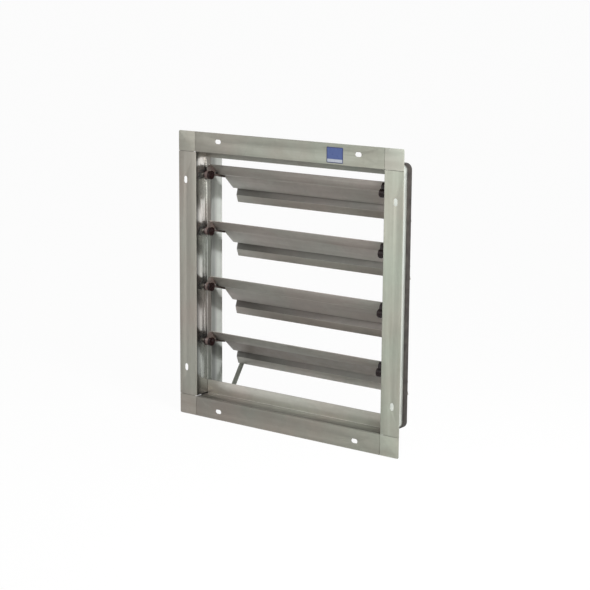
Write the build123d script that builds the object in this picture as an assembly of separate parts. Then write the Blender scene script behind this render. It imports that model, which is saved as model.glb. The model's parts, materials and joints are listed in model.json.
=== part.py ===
from build123d import *
from math import cos, hypot, radians, sin
import os

# Gravity backdraft damper, millimetres
# X runs along the blades, Y runs back through the opening with the air, Z is up
# The origin is the middle of the opening, in the plane of the flange's front face

# Frame
frame_width = 400.0
frame_height = 430.0
flange_width = 30.0
jamb_flange_width = 31.5
frame_sheet = 1.2
frame_bend = 1.2
lip_depth = 27.0
head_lip = 10.0
sill_lip = 21.0
jamb_lip = 7.0
seam_gap = 0.6

# Fixing slots in the flange
slot_width = 6.5
slot_length = 11.0
slot_edge = 12.5
slot_inset_across = 43.5
slot_inset_up = 42.5

# Corner plates
corner_radius = 2.5
corner_leg_reach = 26.0
corner_leg_margin = 4.5
corner_leg_inset = 1.0

# Sleeve behind the flange, and the dark band round its rear end
sleeve_start = 12.0
sleeve_end = 63.0
sleeve_corner = 8.0
sleeve_seam_width = 9.0
sleeve_clearance = 0.05
band_thickness = 1.6
band_width = 10.5
band_inset = 0.5
band_edge = 0.7

# Blades, as the runs and headings of one folded strip seen from its left end
# The sloping face is as long as the pitch, less what the other runs take
# The blades have slid a little to the left, within their play between the jambs
blade_count = 4
head_to_pivot = 35.1
sill_to_pivot = 82.9
pivot_depth = 19.0
blade_sheet = 1.0
blade_bend = 1.0
blade_end_gap = 11.2
blade_slide = -0.9
lip_top = (0.9, 15.3)
blade_lip = 21.3
blade_shelf = 18.7
blade_face_margin = 53.8
blade_step = 10.7
blade_hook = 10.2
blade_edge = 11.6
blade_headings = (-45.7, -13.1, -43.5, -10.3, -105.3, -71.5)
rest_turns = (0.2, 1.4, -2.9, 1.4)

# Pivot pins in the jambs and plastic pivots on the blade ends
pin_radius = 2.5
pin_reach = 13.0
pin_shank = 3.2
pin_head_radius = 4.5
pin_head_thickness = 1.6
pin_collar_radius = 3.4
pin_collar_thickness = 4.2
pin_hole_clearance = 0.05
hub_radius = 6.2
hub_collar_gap = 1.4
hub_reach = 16.0
hub_running_clearance = 0.08
pin_end_gap = 1.5
jaw_half_width = 4.0
jaw_lip = 2.0
jaw_grip_clearance = 0.05
jaw_bridge = 2.4
jaw_top_reach = 9.0
arm_thickness = 3.0
arm_end_gap = 1.6
jaw_edge = 0.8

# Stay behind the bottom blade's left end
stay_side_margin = 15.5
stay_floor_gap = 0.6
stay_blade_gap = 1.1
stay_heading = 56.0
stay_length = 41.5
stay_width = 8.0
stay_sheet = 1.5
stay_eye_radius = 2.75
stay_pin_radius = 1.5
stay_pin_head_radius = 2.6
stay_pin_head_thickness = 1.0
stay_running_clearance = 0.06
bracket_sheet = 1.2
bracket_side_gap = 0.8
bracket_length = 17.5
bracket_inset = 0.5
bracket_ear_length = 6.5
bracket_ear_radius = 3.2

# Blank label
label_slot_distance = 39.5
label_top_distance = 16.2
label_width = 28.0
label_height = 22.0
label_thickness = 0.2

# Derived sizes
half_width = frame_width / 2
half_height = frame_height / 2
opening_x = half_width - jamb_flange_width
opening_z = half_height - flange_width
sleeve_inner_x = opening_x + frame_sheet + sleeve_clearance
sleeve_inner_z = opening_z + frame_sheet + sleeve_clearance
sleeve_outer_x = sleeve_inner_x + frame_sheet
sleeve_outer_z = sleeve_inner_z + frame_sheet
band_end = sleeve_end - band_inset
band_start = band_end - band_width
slot_across = opening_x - slot_inset_across
slot_up = opening_z - slot_inset_up
cut_spare = 2 * frame_sheet
blade_half_length = opening_x - blade_end_gap
blade_pitch = (2 * opening_z - head_to_pivot - sill_to_pivot) / (blade_count - 1)
pivot_heights = [opening_z - head_to_pivot - blade_pitch * i for i in range(blade_count)]

os.makedirs("parts", exist_ok=True)


def write_part(name, solids):
    """Each node goes to its own file, one solid or a group of like solids."""
    shape = solids[0] if len(solids) == 1 else Compound(children=solids)
    shape.label = name
    export_step(shape, f"parts/{name}.step")


def folded_strip(points, thickness, bend, start, end):
    """A strip bent through points in the Y-Z plane, with its sheet on their left hand."""
    line = FilletPolyline(*[(y, z) for y, z in points], radius=bend)
    outline = Wire(line.edges()).offset_2d(thickness, side=Side.LEFT, closed=True)
    flat = Face(outline if isinstance(outline, Wire) else outline.wires()[0])
    turned = Plane(origin=(start, 0, 0), x_dir=(0, 1, 0), z_dir=(1, 0, 0))
    strip = extrude(turned * flat, amount=end - start, dir=(1, 0, 0))
    return strip.solid()


def block(x_range, y_range, z_range):
    size = [abs(b - a) for a, b in (x_range, y_range, z_range)]
    middle = [(a + b) / 2 for a, b in (x_range, y_range, z_range)]
    return Pos(*middle) * Box(*size)


def rod_along_x(radius, start, end, depth, height):
    turned = Plane(origin=((start + end) / 2, depth, height), z_dir=(1, 0, 0))
    return turned * Cylinder(radius, abs(end - start))


def shank_hole(start, end, height):
    side = pin_shank / 2 + pin_hole_clearance
    depths = (pivot_depth - side, pivot_depth + side)
    return block((start, end), depths, (height - side, height + side))


def ring_along_y(inner_x, inner_z, inner_radius, thickness, start, end):
    front = Plane(origin=(0, start, 0), x_dir=(1, 0, 0), z_dir=(0, 1, 0))
    outer = RectangleRounded(
        2 * (inner_x + thickness), 2 * (inner_z + thickness), inner_radius + thickness
    )
    inner = RectangleRounded(2 * inner_x, 2 * inner_z, inner_radius)
    return extrude(front * (outer - inner), amount=end - start).solid()


def upright_slot(x, z, along_x):
    face = Plane(origin=(x, -cut_spare, z), x_dir=(1, 0, 0), z_dir=(0, 1, 0))
    shape = SlotOverall(slot_length, slot_width, rotation=0 if along_x else 90)
    return extrude(face * shape, amount=frame_sheet + 2 * cut_spare)


def mirrored(shape):
    return mirror(shape, about=Plane.YZ)


# Rails: flange, web and inner lip are one folded strip
# Behind the start of the sleeve each rail is trimmed to the sleeve's rounded inside
def flange_section(outer, opening, lip):
    return [(0, outer), (0, opening), (lip_depth, opening), (lip_depth, opening - lip)]


rail_trim_start = sleeve_start - seam_gap / 2
front_plane = Plane(origin=(0, rail_trim_start, 0), x_dir=(1, 0, 0), z_dir=(0, 1, 0))
sleeve_room_face = RectangleRounded(
    2 * (sleeve_inner_x - sleeve_clearance),
    2 * (sleeve_inner_z - sleeve_clearance),
    sleeve_corner - frame_sheet - sleeve_clearance,
)
sleeve_room = extrude(front_plane * sleeve_room_face, amount=sleeve_end)
rail_front = block(
    (-half_width, half_width), (-cut_spare, rail_trim_start), (-half_height, half_height)
)
rail_room = rail_front + sleeve_room

rail_end = opening_x - seam_gap / 2
jamb_end = opening_z - seam_gap / 2


def cross_rail(lip, slots_z, up):
    section = flange_section(half_height, opening_z, lip)
    rail = folded_strip(section, frame_sheet, frame_bend, -rail_end, rail_end)
    for x in (-slot_across, slot_across):
        rail = rail - upright_slot(x, slots_z, True)
    rail = rail & rail_room
    return rail.solid() if up else mirror(rail, about=Plane.XY).solid()


slot_height = half_height - slot_edge
head_rail = cross_rail(head_lip, slot_height, True)
sill_rail = cross_rail(sill_lip, slot_height, False)

# The jamb rails stand between the head and the sill, and their lips stop at the other lips
jamb_section = flange_section(half_width, opening_x, jamb_lip)
jamb_upright = folded_strip(jamb_section, frame_sheet, frame_bend, -jamb_end, jamb_end)
right_jamb = Rotation(0, 90, 0) * jamb_upright
jamb_lip_top = opening_z - head_lip - seam_gap / 2
jamb_lip_foot = -opening_z + sill_lip + seam_gap / 2
lip_zone = (opening_x - jamb_lip - cut_spare, opening_x)
lip_depths = (lip_depth - frame_sheet, lip_depth + cut_spare)
right_jamb = right_jamb - block(lip_zone, lip_depths, (jamb_lip_top, half_height))
right_jamb = right_jamb - block(lip_zone, lip_depths, (-half_height, jamb_lip_foot))
slot_x = half_width - slot_edge
for z in (-slot_up, slot_up):
    right_jamb = right_jamb - upright_slot(slot_x, z, False)
for height in pivot_heights:
    right_jamb = right_jamb - shank_hole(opening_x - cut_spare, opening_x + 2 * cut_spare, height)
right_jamb = (right_jamb & rail_room).solid()
left_jamb = mirrored(right_jamb).solid()

write_part("head_rail", [head_rail])
write_part("sill_rail", [sill_rail])
write_part("right_jamb_rail", [right_jamb])
write_part("left_jamb_rail", [left_jamb])

# Corner plates: a square flush with the flange, on two legs that lie behind the rails
square = block(
    (opening_x + seam_gap / 2, half_width), (0, frame_sheet), (opening_z + seam_gap / 2, half_height)
)
leg_layer = (frame_sheet, 2 * frame_sheet)
leg_x = (opening_x + corner_leg_margin, half_width - corner_leg_inset)
leg_z = (opening_z + corner_leg_margin, half_height - corner_leg_inset)
leg_across = block((opening_x - corner_leg_reach, leg_x[1]), leg_layer, leg_z)
leg_down = block(leg_x, leg_layer, (opening_z - corner_leg_reach, leg_z[1]))
corner = square + leg_across + leg_down
outer_edge = corner.edges().filter_by(Axis.Y).sort_by(lambda e: e.center().X + e.center().Z)[-1]
corner = fillet(outer_edge, corner_radius)
leg_tips = [
    e
    for e in corner.edges().filter_by(Axis.Y)
    if e.center().X < opening_x - corner_leg_reach + corner_leg_inset
    or e.center().Z < opening_z - corner_leg_reach + corner_leg_inset
]
corner = fillet(leg_tips, corner_radius).solid()
write_part("top_right_corner", [corner])
write_part("top_left_corner", [mirrored(corner).solid()])
write_part("bottom_right_corner", [mirror(corner, about=Plane.XY).solid()])
write_part("bottom_left_corner", [mirrored(mirror(corner, about=Plane.XY)).solid()])

# Sleeve: one wrapped sheet with round corners, lapped and closed along a seam under the sill
sleeve_inner_radius = sleeve_corner - frame_sheet
sleeve = ring_along_y(
    sleeve_inner_x, sleeve_inner_z, sleeve_inner_radius, frame_sheet, sleeve_start, sleeve_end
)
seam_strap = block(
    (-sleeve_seam_width / 2, sleeve_seam_width / 2),
    (sleeve_start, band_start - seam_gap),
    (-sleeve_outer_z - frame_sheet, -sleeve_outer_z),
)
sleeve = sleeve + seam_strap
for side in (-1, 1):
    for height in pivot_heights:
        walls = (side * (sleeve_inner_x - cut_spare), side * (sleeve_outer_x + cut_spare))
        sleeve = sleeve - shank_hole(min(walls), max(walls), height)
write_part("casing_sleeve", [sleeve.solid()])

# The band's outer edges are chamfered before its middle is cut out
band_front = Plane(origin=(0, band_start, 0), x_dir=(1, 0, 0), z_dir=(0, 1, 0))
band_outline = RectangleRounded(
    2 * (sleeve_outer_x + band_thickness),
    2 * (sleeve_outer_z + band_thickness),
    sleeve_corner + band_thickness,
)
band = extrude(band_front * band_outline, amount=band_width)
rims = band.edges().group_by(Axis.Y)
band = chamfer(rims[0] + rims[-1], band_edge)
band_hole = RectangleRounded(2 * sleeve_outer_x, 2 * sleeve_outer_z, sleeve_corner)
band = band - extrude(band_front * band_hole, amount=band_width)
write_part("rear_edge_band", [band.solid()])

# Pivot pins: a round pin and collar inside the jamb, and a square shank that can't turn, riveted
# through jamb and sleeve
pin_start = opening_x - pin_reach
collar_start = opening_x - pin_collar_thickness
head_end = sleeve_outer_x + pin_head_thickness
shank_sides = (-pin_shank / 2, pin_shank / 2)
pivot_pin = rod_along_x(pin_radius, pin_start, collar_start, 0, 0)
pivot_pin = pivot_pin + rod_along_x(pin_collar_radius, collar_start, opening_x, 0, 0)
pivot_pin = pivot_pin + block((opening_x, sleeve_outer_x), shank_sides, shank_sides)
pivot_pin = pivot_pin + rod_along_x(pin_head_radius, sleeve_outer_x, head_end, 0, 0)
pins = [(Pos(0, pivot_depth, height) * pivot_pin).solid() for height in pivot_heights]
write_part("right_pivot_pins", pins)
write_part("left_pivot_pins", [mirrored(p).solid() for p in pins])

# Blades: the folded strip is drawn about its own pivot, as it stands in the open damper
blade_face = blade_pitch - blade_face_margin
blade_runs = (blade_lip, blade_shelf, blade_face, blade_step, blade_hook, blade_edge)
blade_points = [lip_top]
for run, heading in zip(blade_runs, blade_headings):
    last = blade_points[-1]
    blade_points.append(
        (last[0] + run * cos(radians(heading)), last[1] + run * sin(radians(heading)))
    )
blade_blank = folded_strip(
    blade_points, blade_sheet, blade_bend, -blade_half_length, blade_half_length
)

# The lip lies at this distance from the pivot, square to this heading
lip_normal = blade_headings[0] + 90
lip_distance = lip_top[0] * cos(radians(lip_normal)) + lip_top[1] * sin(radians(lip_normal))

# Plastic pivot: a hub with a closed inner end, and a jaw that grips the end of the blade's lip
hub_outer_end = opening_x - pin_collar_thickness - hub_collar_gap
hub_inner_end = opening_x - hub_reach
hub = rod_along_x(hub_radius, hub_inner_end, hub_outer_end, 0, 0)
jaw_outer_end = blade_half_length + jaw_bridge
jaw_reach = lip_distance + blade_sheet + jaw_grip_clearance + jaw_lip
finger = block(
    (hub_inner_end, jaw_outer_end), (0, jaw_reach), (-jaw_half_width, jaw_half_width)
)
finger = chamfer(finger.edges().filter_by(Axis.X).sort_by(Axis.Y)[-2:], jaw_edge)
seat = lip_distance - jaw_grip_clearance
cheek_outline = Polyline(
    (0, -jaw_half_width),
    (seat, -jaw_half_width),
    (seat, jaw_top_reach),
    (seat - jaw_half_width, jaw_top_reach),
    (0, jaw_half_width),
    close=True,
)
across = Plane(origin=(hub_inner_end, 0, 0), x_dir=(0, 1, 0), z_dir=(1, 0, 0))
cheek = extrude(across * make_face(cheek_outline), amount=jaw_outer_end - hub_inner_end)
grip = block(
    (hub_inner_end - cut_spare, blade_half_length + jaw_grip_clearance),
    (seat, lip_distance + blade_sheet + jaw_grip_clearance),
    (-jaw_half_width - cut_spare, jaw_half_width + cut_spare),
)
jaw = Rotation(lip_normal, 0, 0) * (finger + cheek - grip)

# An arm runs from the hub under the blade's next run, the shelf
shelf_normal = radians(blade_headings[1] + 90)
shelf_distance = blade_points[1][0] * cos(shelf_normal) + blade_points[1][1] * sin(shelf_normal)
shelf_start = blade_points[1][0] * sin(shelf_normal) - blade_points[1][1] * cos(shelf_normal)
arm_top = shelf_distance - jaw_grip_clearance
arm = block(
    (hub_inner_end, jaw_outer_end),
    (0, shelf_start + blade_shelf - arm_end_gap),
    (arm_top - arm_thickness, arm_top),
)
jaw = jaw + Rotation(blade_headings[1], 0, 0) * arm
bore = rod_along_x(
    pin_radius + hub_running_clearance, pin_start - pin_end_gap, opening_x, 0, 0
)
pivot_piece = (hub + jaw - bore).solid()

for i in range(blade_count):
    turn = Rotation(rest_turns[i % len(rest_turns)], 0, 0)
    place = Pos(blade_slide, pivot_depth, pivot_heights[i]) * turn
    write_part(f"blade_{i + 1}", [(place * blade_blank).solid()])
    write_part(f"blade_{i + 1}_right_pivot", [(place * pivot_piece).solid()])
    write_part(f"blade_{i + 1}_left_pivot", [(place * mirrored(pivot_piece)).solid()])

# The stay clears the circle that the bottom blade's edge swings on, and leans back at its heading
edge_back = blade_points[-1][0] + blade_sheet * cos(radians(blade_headings[-1] + 90))
edge_down = blade_points[-1][1] + blade_sheet * sin(radians(blade_headings[-1] + 90))
swing_radius = hypot(edge_back, edge_down)
duct_floor = -sleeve_inner_z
stay_foot_height = duct_floor + bracket_sheet + stay_floor_gap + stay_eye_radius
foot_below_pivot = pivot_heights[-1] - stay_foot_height
lean = radians(stay_heading)
stay_offset = swing_radius + stay_sheet / 2 + stay_blade_gap
stay_foot_depth = pivot_depth + (stay_offset - foot_below_pivot * cos(lean)) / sin(lean)
stay_across = stay_side_margin - opening_x

# Stay: a flat bar with a rolled eye, on a pin between the ears of a small bracket
stay_half = stay_width / 2
eye = rod_along_x(stay_eye_radius, -stay_half, stay_half, 0, 0)
bar = block((-stay_half, stay_half), (0, stay_length), (-stay_sheet / 2, stay_sheet / 2))
tip_edges = bar.edges().filter_by(Axis.Z).sort_by(Axis.Y)[-2:]
bar = fillet(tip_edges, stay_half * 0.4)
eye_hole = rod_along_x(stay_pin_radius + stay_running_clearance, -stay_width, stay_width, 0, 0)
stay = eye + bar - eye_hole
stay_place = Pos(stay_across, stay_foot_depth, stay_foot_height) * Rotation(stay_heading, 0, 0)
write_part("stay_bar", [(stay_place * stay).solid()])

ear_inner = stay_half + bracket_side_gap
ear_outer = ear_inner + bracket_sheet
bracket_end = sleeve_end - bracket_inset
base = block(
    (-ear_outer, ear_outer),
    (bracket_end - bracket_length, bracket_end),
    (duct_floor, duct_floor + bracket_sheet),
)
ears = block(
    (-ear_outer, ear_outer),
    (bracket_end - bracket_ear_length, stay_foot_depth),
    (duct_floor, stay_foot_height + bracket_ear_radius),
)
ears = ears + rod_along_x(
    bracket_ear_radius, -ear_outer, ear_outer, stay_foot_depth, stay_foot_height
)
between_ears = block(
    (-ear_inner, ear_inner),
    (0, sleeve_end + stay_length),
    (duct_floor - bracket_ear_radius, stay_foot_height + 2 * bracket_ear_radius),
)
ears = ears - between_ears
pin_hole = rod_along_x(
    stay_pin_radius + pin_hole_clearance, -stay_width, stay_width, stay_foot_depth, stay_foot_height
)
bracket = base + ears - pin_hole
write_part("stay_bracket", [(Pos(stay_across, 0, 0) * bracket).solid()])

pin_half = ear_outer + stay_pin_head_thickness
stay_pin = rod_along_x(stay_pin_radius, -pin_half, pin_half, stay_foot_depth, stay_foot_height)
for side in (-1, 1):
    stay_pin = stay_pin + rod_along_x(
        stay_pin_head_radius, side * ear_outer, side * pin_half, stay_foot_depth, stay_foot_height
    )
write_part("stay_pin", [(Pos(stay_across, 0, 0) * stay_pin).solid()])

# Blank label on the head flange
label_x = slot_across - label_slot_distance
label_z = half_height - label_top_distance
label = block(
    (label_x - label_width / 2, label_x + label_width / 2),
    (-label_thickness, 0),
    (label_z - label_height / 2, label_z + label_height / 2),
)
write_part("blank_label", [label.solid()])
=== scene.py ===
import bpy
import bmesh
import json
from math import pi, radians
from mathutils import Matrix, Vector


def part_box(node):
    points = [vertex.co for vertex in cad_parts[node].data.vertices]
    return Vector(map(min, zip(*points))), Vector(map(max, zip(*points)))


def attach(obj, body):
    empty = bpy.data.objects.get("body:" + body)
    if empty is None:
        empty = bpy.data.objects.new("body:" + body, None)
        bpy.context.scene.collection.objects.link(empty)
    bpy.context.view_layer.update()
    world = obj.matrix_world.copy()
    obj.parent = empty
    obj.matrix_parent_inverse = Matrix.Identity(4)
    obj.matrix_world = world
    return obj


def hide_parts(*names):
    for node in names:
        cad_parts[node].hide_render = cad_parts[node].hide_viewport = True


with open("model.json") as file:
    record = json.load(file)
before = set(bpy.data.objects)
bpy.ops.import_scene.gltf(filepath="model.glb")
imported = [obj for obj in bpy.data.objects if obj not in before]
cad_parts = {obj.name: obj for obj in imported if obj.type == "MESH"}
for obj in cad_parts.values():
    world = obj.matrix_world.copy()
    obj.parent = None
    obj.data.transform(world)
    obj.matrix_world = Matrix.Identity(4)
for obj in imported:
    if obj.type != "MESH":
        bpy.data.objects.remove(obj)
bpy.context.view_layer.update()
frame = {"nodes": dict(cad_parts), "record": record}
nodes = frame["nodes"]
bodyMembers = frame["record"]["behaviour"]["bodies"]
bodyOf = {node: body for body, members in bodyMembers.items() for node in members}
print("frame loaded:", len(nodes), "nodes")


def linear(red, green, blue):
    # an sRGB colour of 0 to 255 as the linear colour that a shader takes
    steps = [c / 255 for c in (red, green, blue)]
    return tuple(c / 12.92 if c <= 0.04045 else ((c + 0.055) / 1.055) ** 2.4 for c in steps) + (1,)


white = (1, 1, 1, 1)

# the camera stands where the photo was taken from
cameraPlace = {
    "location": (1.45295, -1.87520, 0.45923),
    "right": (0.79333, 0.60875, 0.0070),
    "up": (-0.12316, 0.14922, 0.98110),
    "back": (0.59620, -0.77920, 0.19335),
    "lens": 103.05,
    "sensor": 36,
}
cameraData = bpy.data.cameras.new("photoCamera")
cameraData.lens = cameraPlace["lens"]
cameraData.sensor_width = cameraPlace["sensor"]
camera = bpy.data.objects.new("photoCamera", cameraData)
bpy.context.scene.collection.objects.link(camera)
turn = Matrix([cameraPlace["right"], cameraPlace["up"], cameraPlace["back"]]).transposed()
camera.matrix_world = Matrix.Translation(cameraPlace["location"]) @ turn.to_4x4()
bpy.context.scene.camera = camera
bpy.context.scene.view_settings.view_transform = "Standard"
print("camera set")


def newMaterial(name):
    material = bpy.data.materials.new(name)
    material.use_nodes = True
    tree = material.node_tree
    return material, tree, tree.nodes["Principled BSDF"]


def addNode(tree, kind, **values):
    # each value sets the node's own option of that name, or else its input
    node = tree.nodes.new(kind)
    for key, value in values.items():
        if hasattr(node, key):
            setattr(node, key, value)
        else:
            node.inputs[key].default_value = value
    return node


def feed(tree, value, socket):
    # another node's output is linked, and a plain value is set
    if isinstance(value, bpy.types.NodeSocket):
        tree.links.new(value, socket)
    else:
        socket.default_value = value


def calculate(tree, operation, *values):
    node = addNode(tree, "ShaderNodeMath", operation=operation)
    for value, socket in zip(values, node.inputs):
        feed(tree, value, socket)
    return node.outputs[0]


def coordAxes(tree, kind="Object"):
    coords = addNode(tree, "ShaderNodeTexCoord")
    split = addNode(tree, "ShaderNodeSeparateXYZ")
    tree.links.new(coords.outputs[kind], split.inputs["Vector"])
    return split.outputs


def noiseOn(tree, scale, detail=3.0, roughness=0.55, stretch=(1, 1, 1)):
    coords = addNode(tree, "ShaderNodeTexCoord")
    mapping = addNode(tree, "ShaderNodeMapping", Scale=stretch)
    noise = addNode(tree, "ShaderNodeTexNoise", Scale=scale, Detail=detail, Roughness=roughness)
    tree.links.new(coords.outputs["Object"], mapping.inputs["Vector"])
    tree.links.new(mapping.outputs["Vector"], noise.inputs["Vector"])
    return noise.outputs["Fac"]


def remap(tree, value, low, high, start=0.0, end=1.0):
    # what runs from start to end becomes low to high
    node = addNode(tree, "ShaderNodeMapRange")
    sockets = ("From Min", "From Max", "To Min", "To Max")
    for socket, number in zip(sockets, (start, end, low, high)):
        node.inputs[socket].default_value = number
    tree.links.new(value, node.inputs["Value"])
    return node.outputs["Result"]


# a colour Mix node's factor, two colours and result lie at these places among its sockets
mixPlaces = {"inputs": (0, 6, 7), "result": 2}


def mixColors(tree, factor, first, second, blend="MIX"):
    node = addNode(tree, "ShaderNodeMix", data_type="RGBA", blend_type=blend)
    for value, place in zip((factor, first, second), mixPlaces["inputs"]):
        feed(tree, value, node.inputs[place])
    return node.outputs[mixPlaces["result"]]


def shaded(tree, color, tone):
    return mixColors(tree, 1.0, color, tone, "MULTIPLY")


def greyOf(tree, value):
    node = addNode(tree, "ShaderNodeCombineColor")
    for channel in ("Red", "Green", "Blue"):
        tree.links.new(value, node.inputs[channel])
    return node.outputs["Color"]


def addBump(tree, shader, height, strength, distance):
    bump = addNode(tree, "ShaderNodeBump", Strength=strength, Distance=distance)
    tree.links.new(height, bump.inputs["Height"])
    tree.links.new(bump.outputs["Normal"], shader.inputs["Normal"])


# where the middle values of a fine grain and of a plastic's mottle blend
grainSpan = (0.3, 0.7)
mottleSpan = (0.35, 0.65)


def roughen(tree, shader, settings):
    # fine grain in roughness and bump, shared by the plastics, the rubber, the steel and the film
    grain = noiseOn(tree, settings["grain"])
    low, high = settings["rough"] - settings["spread"], settings["rough"] + settings["spread"]
    tree.links.new(remap(tree, grain, low, high, *grainSpan), shader.inputs["Roughness"])
    finer = noiseOn(tree, settings["grain"] * 2)
    addBump(tree, shader, finer, settings["bump"], settings["depth"])


def paintedZoneShade(tree, settings):
    # painted light and shade on the zinc behind the outer face, on the web and then on the lip:
    # lighter or darker with height, darker near the front fold, graded from left to right and
    # tinted, standing in for reflections and shade
    place = coordAxes(tree)
    reach, sideReach = settings["reach"], settings["sideReach"]
    height = remap(tree, place["Z"], 0, 1, -reach, reach)
    web = remap(tree, height, settings["webLow"], settings["webHigh"])
    nearFold = remap(tree, place["Y"], settings["foldShade"], 1,
                     settings["foldStart"], settings["foldEnd"])
    web = calculate(tree, "MULTIPLY", web, nearFold)
    lip = remap(tree, height, settings["lipLow"], settings["lipHigh"])
    lipStart = settings["lipDepth"] - settings["blur"]
    onLip = remap(tree, place["Y"], 0, 1, lipStart, settings["lipDepth"])
    tone = mixColors(tree, onLip, greyOf(tree, web), greyOf(tree, lip))
    sideways = remap(tree, place["X"], *settings["sides"], -sideReach, sideReach)
    tone = shaded(tree, tone, greyOf(tree, sideways))
    return shaded(tree, tone, settings["insideTint"])


def bendShare(tree, settings):
    # 1 on the rounds between a rail's flats, where the colour takes painted shade and the zinc is
    # made less metallic and rougher
    facing = coordAxes(tree, "Normal")
    most = calculate(tree, "ABSOLUTE", facing["X"])
    for axis in "YZ":
        most = calculate(tree, "MAXIMUM", most, calculate(tree, "ABSOLUTE", facing[axis]))
    return remap(tree, most, 1, 0, *settings["bendSpan"])


def innerSide(tree, settings):
    # 1 on the faces that look towards the middle of the opening
    place = coordAxes(tree)
    facing = coordAxes(tree, "Normal")
    across, up = [calculate(tree, "MULTIPLY", place[axis], facing[axis]) for axis in "XZ"]
    outwards = calculate(tree, "ADD", across, up)
    return remap(tree, outwards, 1, 0, -settings["innerBlur"], settings["innerBlur"])


def galvanised(name, settings):
    # zinc-coated sheet: streaks along the rolling direction, cloudy patches and a faint spangle.
    # Its outer face is dulled by handling, and its folded-in sides are still bright, with painted
    # shade and painted reflections in their colour and painted shade in the bends.
    material, tree, shader = newMaterial(name)
    streaks = noiseOn(tree, *settings["streakNoise"], settings["streak"])
    clouds = noiseOn(tree, *settings["cloudNoise"])
    stains = noiseOn(tree, *settings["stainNoise"], settings["stainStretch"])
    coords = addNode(tree, "ShaderNodeTexCoord")
    spangle = addNode(tree, "ShaderNodeTexVoronoi", Scale=settings["spangleScale"])
    cells = addNode(tree, "ShaderNodeSeparateColor")
    tree.links.new(coords.outputs["Object"], spangle.inputs["Vector"])
    tree.links.new(spangle.outputs["Color"], cells.inputs["Color"])

    streaked = remap(tree, streaks, 0, 1, *settings["streakSpan"])
    clouded = remap(tree, clouds, 0, 1, *settings["cloudSpan"])
    stained = remap(tree, stains, 0, settings["stainShare"], *settings["stainSpan"])
    shade = mixColors(tree, streaked, settings["dark"], settings["light"])
    tint = mixColors(tree, clouded, settings["warm"], settings["cool"])
    color = mixColors(tree, settings["tintShare"], shade, tint)
    color = mixColors(tree, stained, color, settings["stain"])
    cellTone = remap(tree, cells.outputs["Red"], 1 - settings["spangle"], 1)
    color = shaded(tree, color, greyOf(tree, cellTone))

    # behind the outer face, or on the sleeve's faces that look into the opening, the colour is
    # multiplied by painted shade and painted reflections
    place = coordAxes(tree)
    faceEnd = settings["faceDepth"] + settings["faceBlur"]
    inside = remap(tree, place["Y"], 0, 1, settings["faceDepth"], faceEnd)
    toned = innerSide(tree, settings) if settings["innerOnly"] else inside
    color = shaded(tree, color, mixColors(tree, toned, white, paintedZoneShade(tree, settings)))
    across = remap(tree, place["X"], 0, 1, -settings["reach"], settings["reach"])
    sideTint = mixColors(tree, across, settings["leftTint"], settings["rightTint"])
    color = shaded(tree, color, sideTint)

    metal = remap(tree, inside, settings["faceMetal"], settings["insideMetal"])
    rough = remap(tree, inside, settings["faceRough"], settings["insideRough"])
    # painted shade in the bends: the colour is darkened there, and the zinc made less metallic and
    # rougher
    if settings["bend"] < 1:
        bend = bendShare(tree, settings)
        color = shaded(tree, color, greyOf(tree, remap(tree, bend, 1, settings["bend"])))
        metal = calculate(tree, "MULTIPLY", metal, remap(tree, bend, 1, settings["bendMetal"]))
        rough = calculate(tree, "MULTIPLY", rough, remap(tree, bend, 1, settings["bendRough"]))
    cellRough = remap(tree, cells.outputs["Green"], -settings["cellRough"], settings["cellRough"])
    rough = calculate(tree, "ADD", rough, cellRough)
    tree.links.new(color, shader.inputs["Base Color"])
    tree.links.new(metal, shader.inputs["Metallic"])
    tree.links.new(rough, shader.inputs["Roughness"])
    addBump(tree, shader, streaks, settings["bump"], settings["bumpDepth"])
    return material


# Noises are scale, detail and roughness, and a span is where a noise's middle values blend.
# Web, lip, fold and bend are painted light and shade on the folded-in sides, standing in for
# reflections and shade, and sides grade that painted shade from left to right; tints run from left
# to right.
galvanisedLook = {
    "dark": linear(128, 127, 119), "light": linear(169, 169, 160),
    "warm": linear(154, 148, 138), "cool": linear(149, 155, 143), "stain": linear(120, 112, 101),
    "streakNoise": (1.0, 4.0, 0.6), "streakSpan": (0.3, 0.7),
    "cloudNoise": (11.0, 2.0, 0.5), "cloudSpan": (0.38, 0.62), "tintShare": 0.5,
    "stainNoise": (9.0, 5.0, 0.65), "stainSpan": (0.52, 0.72), "stainShare": 0.3,
    "stainStretch": (1, 1, 1), "spangleScale": 130.0, "spangle": 0.06, "cellRough": 0.04,
    "bump": 0.12, "bumpDepth": 0.0002, "reach": 0.18,
    "faceDepth": 0.0018, "faceBlur": 0.001, "faceMetal": 0.15, "faceRough": 0.45,
    "insideMetal": 0.95, "insideRough": 0.2, "insideTint": (0.98, 1.0, 1.03, 1),
    "innerOnly": False, "innerBlur": 0.02, "lipDepth": 0.0269, "blur": 0.0008,
    "webLow": 0.6, "webHigh": 0.9, "lipLow": 1.2, "lipHigh": 1.2,
    "foldShade": 1.0, "foldStart": 0.002, "foldEnd": 0.008, "sides": (1.0, 1.0), "sideReach": 0.15,
    "bend": 0.75, "bendSpan": (0.8, 0.98), "bendMetal": 0.2, "bendRough": 1.6,
    "leftTint": (1.015, 0.968, 0.975, 1), "rightTint": (0.96, 1.0, 0.965, 1),
}
acrossLook = {
    **galvanisedLook, "streak": (4, 70, 70), "stainStretch": (1, 1, 2), "insideRough": 0.28,
}
sheetAcross = galvanised("sheetAcross", acrossLook)
headSheet = galvanised("headSheet", {
    **acrossLook, "lipLow": 1.0, "lipHigh": 1.0, "insideMetal": 0.5, "insideRough": 0.45,
    "leftTint": (0.92, 0.878, 0.875, 1), "rightTint": (0.855, 0.89, 0.858, 1),
})
cornerSheet = galvanised("cornerSheet", {
    **acrossLook, "leftTint": (1.17, 1.13, 1.12, 1), "rightTint": (1.12, 1.12, 1.12, 1),
})
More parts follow.
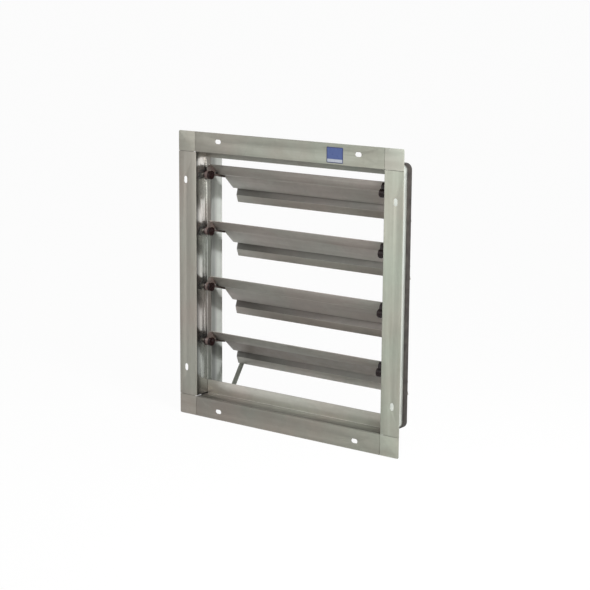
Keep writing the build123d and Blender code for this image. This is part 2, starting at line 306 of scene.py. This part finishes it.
# the sill's zinc is painted darker than the other rails as shade on the bottom rail; inside, its web
# and lip are painted lighter, darker near the front fold as painted shade, and lighter to the left,
# and its bends carry strong painted shade
sillSheet = galvanised("sillSheet", {
    **acrossLook, "dark": linear(114, 111, 104), "light": linear(144, 142, 134),
    "warm": linear(134, 126, 117), "cool": linear(129, 133, 123), "stain": linear(106, 99, 90),
    "insideRough": 0.4, "insideMetal": 0.85, "insideTint": (1.0, 0.99, 1.04, 1), "bump": 0.05,
    "webLow": 1.35, "webHigh": 1.35, "lipLow": 2.05, "lipHigh": 2.05, "sides": (1.2, 0.95),
    "foldShade": 0.42, "foldStart": 0.004, "foldEnd": 0.022, "bend": 0.4,
})
# on the jambs the web is painted much lighter upwards as a painted reflection, a dark line next to
# the front fold is painted shade, and the inside has a bluer tint
sheetUpright = galvanised("sheetUpright", {
    **galvanisedLook, "streak": (70, 70, 4), "stainStretch": (3, 3, 1), "spangle": 0.03,
    "insideRough": 0.22, "insideTint": (0.96, 1.0, 1.08, 1), "bump": 0.05,
    "webLow": 1.42, "webHigh": 2.85, "lipLow": 1.05, "lipHigh": 0.88,
    "foldShade": 0.06, "foldEnd": 0.011,
})
# the sleeve's zinc is painted paler than the rails as light on its outer side; its faces that look
# into the opening are painted dark as shade, lighter upwards and towards the rear, and almost black
# near the front as painted shade where it shows through gaps
sleeveSheet = galvanised("sleeveSheet", {
    **galvanisedLook, "dark": linear(196, 199, 195), "light": linear(222, 226, 220),
    "warm": linear(210, 211, 205), "cool": linear(208, 213, 208), "stainShare": 0.12,
    "streak": (70, 70, 4), "bump": 0.07, "bend": 1, "faceMetal": 0.5,
    "insideMetal": 0.6, "insideRough": 0.22, "insideTint": (1.0, 1.0, 0.99, 1),
    "innerOnly": True, "lipDepth": 0.052, "blur": 0.008,
    "webLow": 0.24, "webHigh": 0.58, "lipLow": 0.66, "lipHigh": 1.1,
    "foldShade": 0.08, "foldStart": 0.0265, "foldEnd": 0.029,
    "leftTint": white, "rightTint": (0.98, 0.99, 0.97, 1),
})
bladeLook = {
    **galvanisedLook, "dark": linear(134, 128, 121), "light": linear(174, 168, 160),
    "warm": linear(160, 149, 140), "cool": linear(152, 153, 142), "stain": linear(124, 114, 104),
    "streak": (3, 90, 90), "stainStretch": (1, 3, 3), "bump": 0.2, "bend": 1,
    "faceDepth": 0.0, "faceMetal": 0.4, "insideMetal": 0.4, "insideRough": 0.45,
    "webLow": 1.0, "webHigh": 1.0, "lipLow": 1.0, "lipHigh": 1.0,
    "leftTint": white, "rightTint": white,
}
bladeSheet = galvanised("bladeSheet", bladeLook)


def bladeShade(name, gain, **changes):
    # the same sheet, painted lighter as light or darker as shade, for one of the strip's faces
    tones = dict.fromkeys(("webLow", "webHigh", "lipLow", "lipHigh"), gain)
    return galvanised(name, {**bladeLook, **tones, **changes})


# the face and the hook are painted lighter as light on them; the step is painted darker as shade,
# darkest at its left end; bladeShaded is painted darker and warmer as shade for the lowest blade's
# face
bladeFace = bladeShade("bladeFace", 1.15)
bladeStep = bladeShade("bladeStep", 0.66, sides=(0.72, 1.15))
bladeHook = bladeShade("bladeHook", 1.45, sides=(0.9, 1.05))
bladeShaded = bladeShade("bladeShaded", 0.55, insideTint=(1.05, 0.99, 0.95, 1))
staySheet = galvanised("staySheet", {
    **bladeLook, "dark": linear(104, 103, 95), "light": linear(146, 145, 134),
    "warm": linear(126, 122, 112), "cool": linear(120, 124, 112), "streak": (60, 30, 30),
})


def twoTone(name, settings):
    # an even material of two near tones, with its metal share set straight on the shader
    material, tree, shader = newMaterial(name)
    mottle = remap(tree, noiseOn(tree, settings["mottle"]), 0, 1, *mottleSpan)
    color = mixColors(tree, mottle, settings["color"], settings["second"])
    tree.links.new(color, shader.inputs["Base Color"])
    shader.inputs["Metallic"].default_value = settings["metallic"]
    shader.inputs["Specular IOR Level"].default_value = settings["specular"]
    roughen(tree, shader, settings)
    return material


plasticLook = {
    "color": linear(22, 9, 10), "second": linear(33, 18, 17), "mottle": 160.0,
    "metallic": 0.0, "specular": 0.2, "rough": 0.25, "spread": 0.05,
    "grain": 240.0, "bump": 0.12, "depth": 0.0002,
}
plastic = twoTone("darkPlastic", plasticLook)
# pale copies of the dark plastic for the left pivots only: the barrel's is a painted highlight, and
# the jaw's is painted light
barrelPlastic = twoTone("barrelPlastic", {
    **plasticLook, "color": linear(94, 79, 76), "second": linear(116, 101, 97),
})
jawPlastic = twoTone("jawPlastic", {
    **plasticLook, "color": linear(94, 83, 78), "second": linear(78, 68, 63),
    "rough": 0.4, "spread": 0.06,
})
rubber = twoTone("bandRubber", {
    "color": linear(46, 42, 40), "second": linear(64, 60, 56), "mottle": 70.0,
    "metallic": 0.0, "specular": 0.25, "rough": 0.5, "spread": 0.1,
    "grain": 420.0, "bump": 0.3, "depth": 0.0002,
})
steel = twoTone("pinSteel", {
    "color": linear(104, 99, 94), "second": linear(76, 72, 68), "mottle": 150.0,
    "metallic": 0.85, "specular": 0.5, "rough": 0.34, "spread": 0.1,
    "grain": 380.0, "bump": 0.15, "depth": 0.0001,
})


def labelFilm():
    # plain blue over a pale strip, inside a thin navy rim
    look = {
        "blue": linear(60, 76, 122), "blueWorn": linear(64, 80, 126), "navy": linear(36, 44, 84),
        "pale": linear(160, 165, 174), "paleWorn": linear(152, 157, 167),
        "wearScale": 260.0, "wearSpan": (0.4, 0.65),
        "bandShare": 0.24, "bandBlur": 0.0002, "rim": 0.0011, "rimBlur": 0.0003,
        "rough": 0.32, "spread": 0.06, "grain": 350.0, "bump": 0.1, "depth": 0.0001,
    }
    material, tree, shader = newMaterial("labelFilm")
    low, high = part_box("blank_label")
    place = coordAxes(tree)
    edge = low.z + (high.z - low.z) * look["bandShare"]
    above = remap(tree, place["Z"], 0, 1, edge - look["bandBlur"], edge + look["bandBlur"])
    wear = remap(tree, noiseOn(tree, look["wearScale"]), 0, 1, *look["wearSpan"])
    pale = mixColors(tree, wear, look["pale"], look["paleWorn"])
    blue = mixColors(tree, wear, look["blue"], look["blueWorn"])
    color = mixColors(tree, above, pale, blue)
    rim = look["rim"]
    for axis, side, start in (("X", 1, low.x + rim), ("X", -1, high.x - rim),
                              ("Z", 1, low.z + rim), ("Z", -1, high.z - rim)):
        blur = side * look["rimBlur"]
        inside = remap(tree, place[axis], 0, 1, start - blur, start + blur)
        color = mixColors(tree, inside, look["navy"], color)
    tree.links.new(color, shader.inputs["Base Color"])
    roughen(tree, shader, look)
    return material


film = labelFilm()
print("materials made")


# joined closer than merge, flattened below flatAngle; a face larger than flatArea is one of a
# sheet's flats and stays flat, and smooth shading stops at sharpAngle
meshLimits = {
    "merge": 0.00001, "spinMerge": 0.000002, "flatAngle": 0.2, "flatArea": 0.00018, "sharpAngle": 28,
}


def mergedShape(name):
    # a node's own shape with its loose triangles joined into whole faces
    shape = bmesh.new()
    shape.from_mesh(nodes[name].data)
    bmesh.ops.remove_doubles(shape, verts=shape.verts, dist=meshLimits["merge"])
    bmesh.ops.dissolve_limit(shape, angle_limit=radians(meshLimits["flatAngle"]),
                             verts=shape.verts, edges=shape.edges)
    return shape


def breakEdges(shape, settings):
    # sharp edges get a small round, as cut sheet and moulded plastic have
    sharper = radians(settings["sharper"])
    sharp = [edge for edge in shape.edges if edge.calc_face_angle(0) > sharper]
    bmesh.ops.bevel(shape, geom=sharp, offset=settings["round"], segments=settings["steps"],
                    profile=0.5, affect="EDGES", material=-1, clamp_overlap=True)


def spunRing(shape, section, center, axis, closed, finish, steps=40):
    # a turned ring, cap or dome: its section, as distances along and out from the axis, is spun
    along = Vector(axis)
    outward = Vector((0, 0, 1))
    corners = [shape.verts.new(Vector(center) + along * a + outward * r) for a, r in section]
    pairs = list(zip(corners, corners[1:]))
    if closed:
        pairs.append((corners[-1], corners[0]))
    edges = [shape.edges.new(pair) for pair in pairs]
    old = set(shape.faces)
    bmesh.ops.spin(shape, geom=corners + edges, cent=center, axis=axis, angle=2 * pi, steps=steps,
                   use_merge=True, use_duplicate=False)
    spun = [vert for face in shape.faces if face not in old for vert in face.verts]
    touched = list(dict.fromkeys(spun))  # each once, in a fixed order
    bmesh.ops.remove_doubles(shape, verts=touched, dist=meshLimits["spinMerge"])
    new = [face for face in shape.faces if face not in old]
    bmesh.ops.recalc_face_normals(shape, faces=new)
    for face in new:
        face.material_index = finish


def addPiece(node, suffix, shape, materials):
    mesh = bpy.data.meshes.new(node + suffix)
    shape.to_mesh(mesh)
    shape.free()
    for material in materials:
        mesh.materials.append(material)
    for face in mesh.polygons:
        face.use_smooth = face.area < meshLimits["flatArea"]
    mesh.set_sharp_from_angle(angle=radians(meshLimits["sharpAngle"]))
    piece = bpy.data.objects.new(node + suffix, mesh)
    bpy.context.scene.collection.objects.link(piece)
    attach(piece, bodyOf[node])
    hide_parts(node)


# rails, sleeve, bracket and stay are the CAD's folded sheets with their cut edges broken
sheetEdge = {"round": 0.0002, "steps": 2, "sharper": 50}
sheetPieces = (
    (headSheet, ["head_rail", "stay_bracket"]),
    (sillSheet, ["sill_rail"]),
    (sheetUpright, ["left_jamb_rail", "right_jamb_rail"]),
    (sleeveSheet, ["casing_sleeve"]),
    (staySheet, ["stay_bar"]),
)
for material, names in sheetPieces:
    for name in names:
        sheet = mergedShape(name)
        breakEdges(sheet, sheetEdge)
        addPiece(name, "_sheet", sheet, [material])
print("rails and sleeve made")

# corner plates: spot welds on the backs of their legs hold them to the rails.
# Each weld is a low dome with a dimple, on the leg across and on the leg beside.
cornerNames = ["top_right_corner", "top_left_corner", "bottom_right_corner", "bottom_left_corner"]
weld = {
    "places": ((0.1555, 0.2), (0.18425, 0.172)), "back": 0.0024, "steps": 24,
    "section": [(-0.0003, 0.0026), (0.00015, 0.002392), (0.00025, 0.00182), (0.000125, 0.0011),
                (0.0001, 0), (-0.0003, 0)],
}
for name in cornerNames:
    plate = mergedShape(name)
    breakEdges(plate, sheetEdge)
    sideways = 1 if "right" in name else -1
    upwards = 1 if "top" in name else -1
    for x, z in weld["places"]:
        center = (sideways * x, weld["back"], upwards * z)
        spunRing(plate, weld["section"], center, (0, 1, 0), True, 0, weld["steps"])
    zinc = cornerSheet if upwards == 1 else sheetAcross
    addPiece(name, "_plate", plate, [zinc])
print("corner plates made")

# each blade's height and turn at rest, its face's painted tone (painted light on the upper three,
# painted shade on blade_4), and where its folds lie about its own pivot
bladeRest = {
    "blade_1": {"height": 0.1499, "turn": 0.2, "face": bladeFace},
    "blade_2": {"height": 0.0659, "turn": 1.4, "face": bladeFace},
    "blade_3": {"height": -0.0181, "turn": -2.9, "face": bladeFace},
    "blade_4": {"height": -0.1021, "turn": 1.4, "face": bladeShaded},
}
bladeFolds = {"depth": 0.019, "lipEnd": 0.0155, "stepTop": -0.0272, "hookTop": -0.0366}
bladeNames = [name for name in nodes if name.startswith("blade_") and "pivot" not in name]
for name in bladeNames:
    rest = bladeRest[name]
    blade = mergedShape(name)
    breakEdges(blade, sheetEdge)
    unturn = Matrix.Rotation(radians(-rest["turn"]), 3, "X")
    for face in blade.faces:
        middle = face.calc_center_median()
        own = unturn @ Vector((0, middle.y - bladeFolds["depth"], middle.z - rest["height"]))
        face.material_index = 0
        if own.z < bladeFolds["hookTop"]:
            face.material_index = 3
        elif own.z < bladeFolds["stepTop"]:
            face.material_index = 2
        elif own.y > bladeFolds["lipEnd"]:
            face.material_index = 1
    # the lip keeps the plain sheet; the face, step and hook take the painted light and shade copies
    looks = [bladeSheet, rest["face"], bladeStep, bladeHook]
    addPiece(name, "_strip", blade, looks)
print("blades made")

# pivots: a dark cap closes the hub's inner end and a dark rim stands at its jamb end, with a barrel
# between them, a dull jaw over the blade's lip and a dark arm under its shelf. On the left pivots
# the barrel is painted paler as a painted highlight and the jaw a paler brown as painted light; the
# right pivots stay dark all over.
pivotShape = {
    "inner": 0.1525, "outer": 0.1629, "slide": -0.0009, "depth": 0.019,
    "barrel": 0.0065, "endFacing": 0.3, "armStart": 0.009, "armTop": 0.006,
    "cap": [(0.0005, 0), (0.0005, 0.0057), (0.0036, 0.0057), (0.0036, 0.006), (0.0031, 0.0065),
            (-0.0004, 0.0065), (-0.00075, 0.00635), (-0.0009, 0.006), (-0.0009, 0.002275),
            (-0.00065, 0.00195), (-0.00065, 0)],
    "rim": [(0.0002, 0.0031), (0.0002, 0.0062), (0, 0.00655), (-0.0005, 0.0067),
            (-0.0017, 0.0067), (-0.0022, 0.0062), (-0.0022, 0.0057), (-0.0005, 0.0057),
            (-0.0005, 0.0031)],
}
pivotEdge = {"round": 0.0004, "steps": 2, "sharper": 40}
pivotNames = [name for name in nodes if "_pivot" in name and name.startswith("blade_")]
for name in pivotNames:
    height = bladeRest[name[:len("blade_1")]]["height"]
    side = -1 if "left" in name else 1
    pivot = mergedShape(name)
    breakEdges(pivot, pivotEdge)
    for face in pivot.faces:
        middle = face.calc_center_median()
        out = Vector((middle.y - pivotShape["depth"], middle.z - height))
        face.material_index = 2
        if abs(face.normal.x) < pivotShape["endFacing"] and out.length < pivotShape["barrel"]:
            face.material_index = 1
        elif out.x > pivotShape["armStart"] and out.y < pivotShape["armTop"]:
            face.material_index = 3
    for part, place, closed in (("cap", "inner", False), ("rim", "outer", True)):
        across = side * pivotShape[place] + pivotShape["slide"]
        center = (across, pivotShape["depth"], height)
        spunRing(pivot, pivotShape[part], center, (side, 0, 0), closed, 0)
    # the left pivots take the painted highlight on the barrel and the painted light on the jaw
    looks = [plastic, barrelPlastic, jawPlastic, plastic] if side == -1 else [plastic] * 4
    addPiece(name, "_moulding", pivot, looks)
print("pivots made")

# pins: the riveted heads outside the sleeve are domed
pinShape = {
    "start": 0.17245, "depth": 0.019, "steps": 32,
    "dome": [(-0.0004, 0), (-0.0004, 0.0043), (0, 0.004171), (0.0004, 0.003225),
             (0.000704, 0.00172), (0.0008, 0)],
}
pinEdge = {"round": 0.0003, "steps": 2, "sharper": 50}
for name, side in (("left_pivot_pins", -1), ("right_pivot_pins", 1)):
    pins = mergedShape(name)
    breakEdges(pins, pinEdge)
    for rest in bladeRest.values():
        center = (side * pinShape["start"], pinShape["depth"], rest["height"])
        spunRing(pins, pinShape["dome"], center, (side, 0, 0), False, 0, pinShape["steps"])
    addPiece(name, "_riveted", pins, [steel])
stayPin = mergedShape("stay_pin")
breakEdges(stayPin, pinEdge)
addPiece("stay_pin", "_rod", stayPin, [steel])

bandEdge = {"round": 0.0003, "steps": 2, "sharper": 35}
band = mergedShape("rear_edge_band")
breakEdges(band, bandEdge)
addPiece("rear_edge_band", "_strip", band, [rubber])

# the label is a thin film with rounded corners
labelShape = {"corner": 0.0012, "steps": 4}
low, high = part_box("blank_label")
label = bmesh.new()
bmesh.ops.create_grid(label, x_segments=1, y_segments=1, size=0.5)
bmesh.ops.scale(label, vec=(high.x - low.x, high.z - low.z, 1), verts=label.verts)
bmesh.ops.bevel(label, geom=label.verts[:], offset=labelShape["corner"],
                segments=labelShape["steps"], profile=0.5, affect="VERTICES", material=-1)
upright = Matrix.Rotation(radians(90), 3, "X")
bmesh.ops.rotate(label, cent=(0, 0, 0), matrix=upright, verts=label.verts)
back = bmesh.ops.extrude_face_region(label, geom=label.faces[:])
backVerts = [item for item in back["geom"] if isinstance(item, bmesh.types.BMVert)]
bmesh.ops.translate(label, vec=(0, high.y - low.y, 0), verts=backVerts)
labelPlace = ((low.x + high.x) / 2, low.y, (low.z + high.z) / 2)
bmesh.ops.translate(label, vec=labelPlace, verts=label.verts)
bmesh.ops.recalc_face_normals(label, faces=label.faces)
addPiece("blank_label", "_film", label, [film])
print("pins, band and label made")


def backdropShare(tree):
    # 1 for what the camera, metal and glass see, and 0 for the light that falls on the object
    rays = addNode(tree, "ShaderNodeLightPath").outputs
    shiny = calculate(tree, "MAXIMUM", rays["Is Glossy Ray"], rays["Is Transmission Ray"])
    return calculate(tree, "MAXIMUM", rays["Is Camera Ray"], shiny)


def studioWorld():
    look = {"fill": 0.3, "backdrop": 1.0}
    world = bpy.data.worlds.new("studio")
    bpy.context.scene.world = world
    world.use_nodes = True
    tree = world.node_tree
    background = tree.nodes["Background"]
    background.inputs["Color"].default_value = white
    strength = remap(tree, backdropShare(tree), look["fill"], look["backdrop"])
    tree.links.new(strength, background.inputs["Strength"])


def studioFloor():
    # pale paper that glows white to the camera and still takes the object's shadow
    look = {
        "size": 60.0, "height": -0.2155, "color": linear(240, 240, 238), "rough": 0.9,
        "specular": 0.0, "shadowShare": 0.04,
    }
    mesh = bpy.data.meshes.new("floor")
    shape = bmesh.new()
    bmesh.ops.create_grid(shape, x_segments=1, y_segments=1, size=look["size"])
    bmesh.ops.translate(shape, vec=(0, 0, look["height"]), verts=shape.verts)
    shape.to_mesh(mesh)
    shape.free()
    floor = bpy.data.objects.new("floor", mesh)
    bpy.context.scene.collection.objects.link(floor)
    material, tree, shader = newMaterial("floorPaper")
    shader.inputs["Base Color"].default_value = look["color"]
    shader.inputs["Roughness"].default_value = look["rough"]
    shader.inputs["Specular IOR Level"].default_value = look["specular"]
    glow = addNode(tree, "ShaderNodeEmission", Strength=1.0)
    mixer = addNode(tree, "ShaderNodeMixShader")
    glowShare = remap(tree, backdropShare(tree), 0, 1 - look["shadowShare"])
    tree.links.new(glowShare, mixer.inputs["Fac"])
    tree.links.new(shader.outputs["BSDF"], mixer.inputs[1])
    tree.links.new(glow.outputs["Emission"], mixer.inputs[2])
    tree.links.new(mixer.outputs["Shader"], tree.nodes["Material Output"].inputs["Surface"])
    mesh.materials.append(material)


def softLamp(name, settings):
    data = bpy.data.lights.new(name, "AREA")
    data.shape = "DISK"
    data.size = settings["size"]
    data.energy = settings["watts"]
    lamp = bpy.data.objects.new(name, data)
    bpy.context.scene.collection.objects.link(lamp)
    lamp.location = settings["place"]
    aim = Vector(settings["target"]) - Vector(settings["place"])
    lamp.rotation_euler = aim.to_track_quat("-Z", "Y").to_euler()
    lamp.visible_camera = False


lamps = {
    "keyLamp": {"place": (0.75, -0.35, 0.55), "target": (0.1, 0, 0.05), "size": 0.5, "watts": 13},
    "fillLamp": {"place": (-0.9, -1.6, 0.9), "target": (0, 0, 0), "size": 1.4, "watts": 6},
}
studioWorld()
studioFloor()
for name, settings in lamps.items():
    softLamp(name, settings)
print("studio set")
